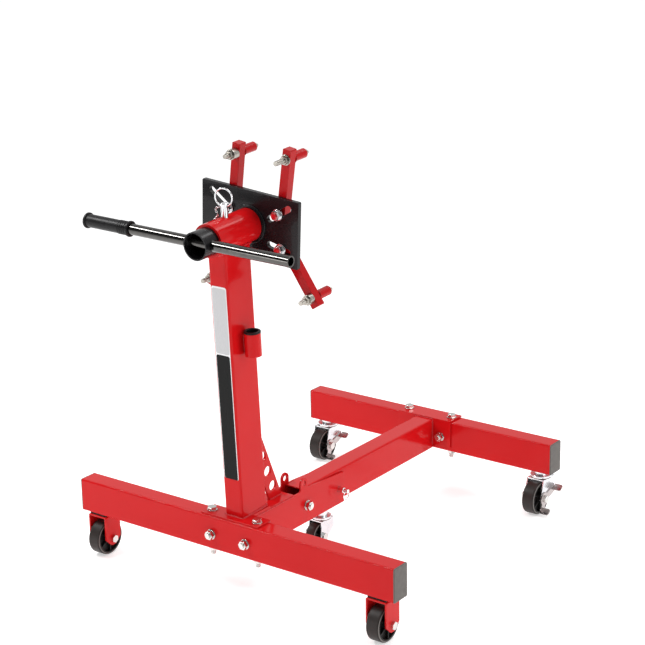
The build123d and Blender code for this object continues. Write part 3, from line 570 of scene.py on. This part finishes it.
def frame_welds(finish):
    """The beads that join the post, head tube, brace, base channel, handle holder and rear bracket."""
    corners = ((-1, -1), (1, -1), (1, 1), (-1, 1))
    foot = [on_post(x * POST_HALF_X, y * POST_HALF_Y, 0.0008) for x, y in corners]
    weld("weld_post_foot", foot, 0.0032, finish, "stand", closed=True)
    arc = [POST_HALF_X * (part / 8 - 1) for part in range(17)]
    front = [on_head(x, -POST_HALF_Y, -sqrt(HEAD_TUBE_R**2 - x * x)) for x in arc]
    back = [on_head(x, POST_HALF_Y, -sqrt(HEAD_TUBE_R**2 - x * x)) for x in reversed(arc)]
    weld("weld_head_tube", front + back, 0.0030, finish, "stand", closed=True)
    brace_low = Vector((0, 0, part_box("brace")[0].z))
    for name, origin, normal in (("top", on_post(0, POST_HALF_Y, 0), HEAD_AXIS), ("foot", brace_low, Z)):
        for side, line in enumerate(both_sides(plane_edge("brace", origin, normal))):
            weld(f"weld_brace_{name}_{side}", list(line), 0.0022, finish, "stand")
    low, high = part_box("channel_cover")
    channel_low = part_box("base_channel")[0]
    seam = [Vector((high.x, low.y, low.z)), Vector((high.x, high.y, low.z))]
    corner = [
        Vector((high.x, channel_low.y, channel_low.z + CORNER_GAP)),
        Vector((high.x, channel_low.y, low.z)),
    ]
    for side, line in enumerate(both_sides(seam)):
        weld(f"weld_cover_{side}", line, 0.0014, finish, "stand")
    for side, line in enumerate(both_sides(corner)):
        weld(f"weld_channel_{side}", line, 0.0026, finish, "stand")
    for name, y in (("front", HOLDER_Y - HOLDER_STRIP), ("back", HOLDER_Y + HOLDER_STRIP)):
        strip = [on_post(POST_HALF_X, y, HOLDER_LOW), on_post(POST_HALF_X, y, HOLDER_HIGH)]
        weld(f"weld_holder_{name}", strip, 0.0018, finish, "stand")
    low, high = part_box("centre_beam")
    foot_z = low.z + CORNER_GAP
    corners = ((low.x, foot_z), (low.x, high.z), (high.x, high.z), (high.x, foot_z))
    loop = [Vector((x, high.y, z)) for x, z in corners]
    weld("weld_rear_bracket", loop, 0.0026, finish, "rear_frame")


def head_weld(finish):
    """The bead that joins the shaft's collar to the faceplate."""
    turn = [2 * pi * part / 72 for part in range(72)]
    face = HEAD + HEAD_AXIS * FACE_FRONT
    circle = [face + X * COLLAR_BEAD_R * cos(angle) + POST_UP * COLLAR_BEAD_R * sin(angle) for angle in turn]
    weld("weld_collar", circle, 0.0017, finish, "head", closed=True)


def bolt_threads(finish, enamel):
    """Threads on the ends of the bolts that hold the arms and the engine."""
    for arm in ARMS:
        swing = joint_point(f"arm_swing_{arm}")
        end = swing + HEAD_AXIS * CLAMP_END
        thread(f"thread_clamp_{arm}", end, HEAD_AXIS, BOLT_R, 0.0038, enamel, f"clamp_{arm}")
        boss = Vector(MOUNTS[f"engine_bolt_{arm}"]["pos_m"])
        spots = [v.co - boss for v in NODES[f"mount_bolt_{arm}"].data.vertices]
        tip = min(spot.dot(HEAD_AXIS) for spot in spots)
        nut = min(spot.dot(HEAD_AXIS) for spot in spots if spot.cross(HEAD_AXIS).length > NUT_AT_LEAST)
        body = f"swing_arm_{arm}"
        start = boss + HEAD_AXIS * (tip + STUD_TIP)
        run = nut - tip - STUD_TIP
        thread(f"thread_engine_{arm}", start, HEAD_AXIS, STUD_R, run, finish, body, STUD_PITCH)
        start = boss - HEAD_AXIS * STUD_ENTRY
        run = 2 * STUD_ENTRY
        thread(f"thread_block_{arm}", start, HEAD_AXIS, STUD_R, run, finish, body, STUD_PITCH, 0.0004)


def plain_threads(finish):
    """Threads on the frame's bolt ends, beyond their nuts."""
    for beam, body in (("front", "stand"), ("rear", "rear_frame")):
        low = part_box(f"{beam}_bolts")[0]
        nut_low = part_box(f"{beam}_nuts")[0]
        crossbeam_low, crossbeam_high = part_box(f"{beam}_crossbeam")
        level_z = crossbeam_low.z + LEVEL_BOLT_RISE
        upright_y = (crossbeam_low.y + crossbeam_high.y) / 2
        for side in (-1, 1):
            level = Vector((side * LEVEL_BOLT_X, nut_low.y - NUT_GAP, level_z))
            reach = nut_low.y - low.y - TIP_GAP
            thread(f"thread_{beam}_level_{side}", level, -Y, BOLT_R, reach, finish, body)
            upright = Vector((side * UPRIGHT_BOLT_X, upright_y, nut_low.z - NUT_GAP))
            reach = nut_low.z - low.z - TIP_GAP
            thread(f"thread_{beam}_upright_{side}", upright, -Z, BOLT_R, reach, finish, body)
    pivot = joint_point("frame_fold")
    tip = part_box("pivot_bolt")[1].x
    start = Vector((tip - PIVOT_TIP, pivot.y, pivot.z))
    thread("thread_pivot", start, X, BOLT_R, PIVOT_THREAD, finish, "stand")


def tube_ring(name, centre, axis, radius, wire, finish, body, sides=8, around=48):
    """A plain ring of round wire, for races, beads and trim."""
    across, up = square_to(axis)
    points = []
    for turn in range(around):
        angle = 2 * pi * turn / around
        outward = across * cos(angle) + up * sin(angle)
        for side in range(sides):
            tilt = 2 * pi * side / sides
            points.append(centre + outward * (radius + wire * cos(tilt)) + axis * wire * sin(tilt))
    return piece(name, points, skin(around, sides, True), finish, body)


def pin_chain(finish):
    """The short chain that keeps the head's lock pin: oval links from the pin's eye to the head tube."""
    places = (
        (-0.0085, -0.009, 0.0600),
        (-0.0165, -0.012, 0.0585),
        (-0.0215, -0.012, 0.0520),
        (-0.0165, -0.011, 0.0450),
        (-0.0175, -0.010, 0.0395),
        (-0.0270, -0.009, 0.0305),
    )
    route = [on_head(*place) for place in places]
    spacing, wire, half_long, half_wide = 0.0042, 0.0007, 0.0030, 0.0017
    stations = resample(route, spacing, False)
    points, faces = [], []
    sides, around = 6, 16
    for index, spot in enumerate(stations):
        before = stations[max(index - 1, 0)]
        after = stations[min(index + 1, len(stations) - 1)]
        run = (after - before).normalized()
        across, up = square_to(run)
        flat = across if index % 2 else up
        first = len(points)
        for turn in range(around):
            angle = 2 * pi * turn / around
            outward = (run * cos(angle) * half_long + flat * sin(angle) * half_wide)
            normal = run.cross(flat)
            for side in range(sides):
                tilt = 2 * pi * side / sides
                offset = outward.normalized() * wire * cos(tilt) + normal * wire * sin(tilt)
                points.append(spot + outward + offset)
        faces += [tuple(first + corner for corner in face) for face in skin(around, sides, True)]
    chain = piece("pin_chain", points, faces, finish, None)
    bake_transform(chain)


def caster_details(zinc, dark):
    """Ball race rings between each swivel's cup and fork, and the crimp over each cup."""
    stems = (
        ("rear_left", "swivel_fork_left", "rear_swivel_left_turn", 0.027, "rear_frame"),
        ("rear_right", "swivel_fork_right", "rear_swivel_right_turn", 0.027, "rear_frame"),
        ("middle", "middle_fork", "middle_swivel_turn", 0.024, "stand"),
    )
    for name, fork, turn_joint, cup, body in stems:
        turn = joint_point(turn_joint)
        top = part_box(fork)[1].z
        race = Vector((turn.x, turn.y, top + 0.0006))
        tube_ring(f"race_{name}", race, Z, cup - 0.0015, 0.0014, dark, body)
        crimp = Vector((turn.x, turn.y, top + 0.0062))
        tube_ring(f"crimp_{name}", crimp, Z, cup - 0.0008, 0.0009, zinc, body)


make_camera()
materials = paint_nodes()
frame_welds(materials["red_weld"])
head_weld(materials["black_weld"])
bolt_threads(materials["stud"], materials["red_weld"])
plain_threads(materials["bolt"])
pin_chain(materials["chrome"])
caster_details(materials["zinc"], materials["race"])
make_stage()
